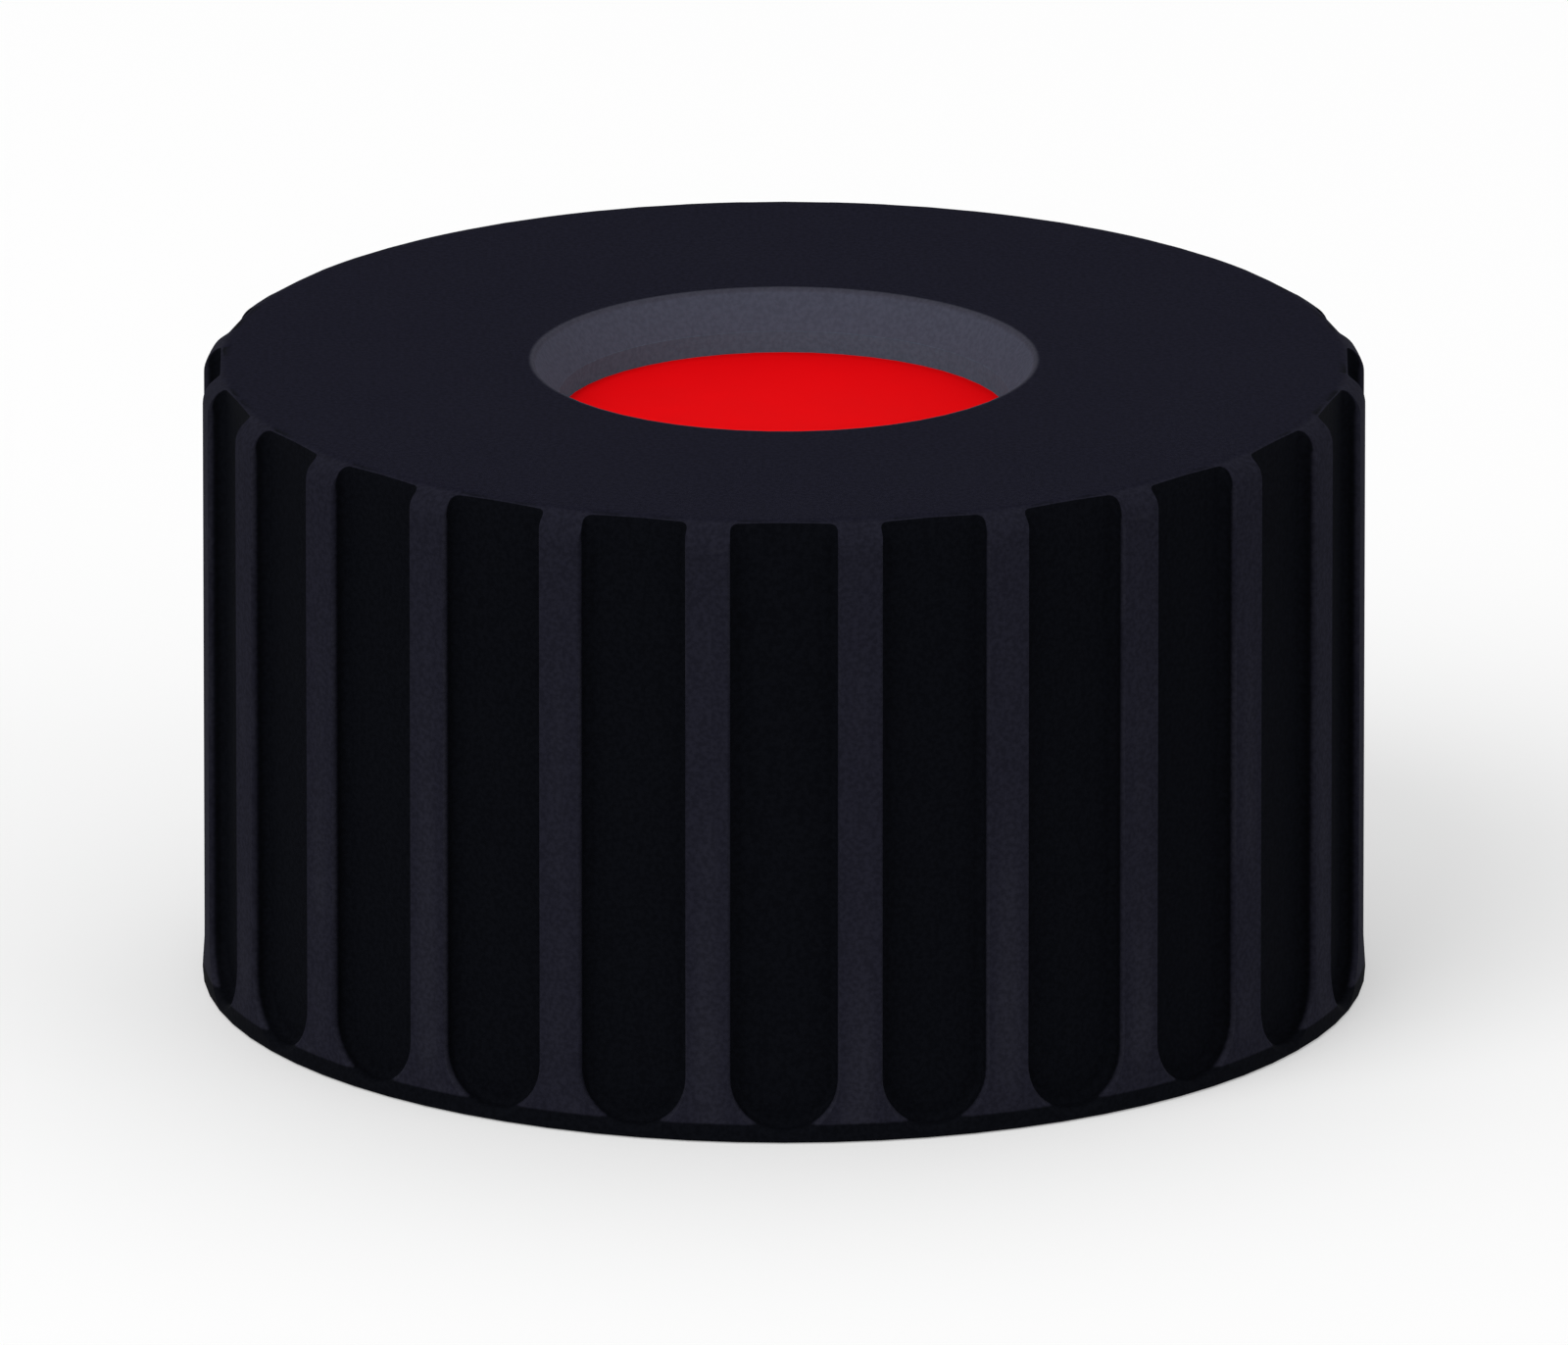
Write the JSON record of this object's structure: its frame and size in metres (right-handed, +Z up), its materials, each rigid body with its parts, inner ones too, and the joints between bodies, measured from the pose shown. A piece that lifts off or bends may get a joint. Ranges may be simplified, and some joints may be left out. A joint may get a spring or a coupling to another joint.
{
  "type": "open-top septum screw cap",
  "caption": "Small black fluted screw cap, open end down, with a countersunk needle hole in its lid over a red disc septum.",
  "frame": {"origin": "centre of the open rim's lower face, on the surface that the cap stands on", "axes": "+Z up along the cap's axis, from the open rim to the lid; one flute is centred on -Y"},
  "size_m": [0.0116, 0.0116, 0.0063],
  "materials": {
    "cap_plastic": "moulded, fine matte texture, black",
    "septum_red": "smooth, satin red"
  },
  "bodies": {
    "root": {"screw_cap": "cap_plastic", "septum": "septum_red"}
  },
  "joints": []
}
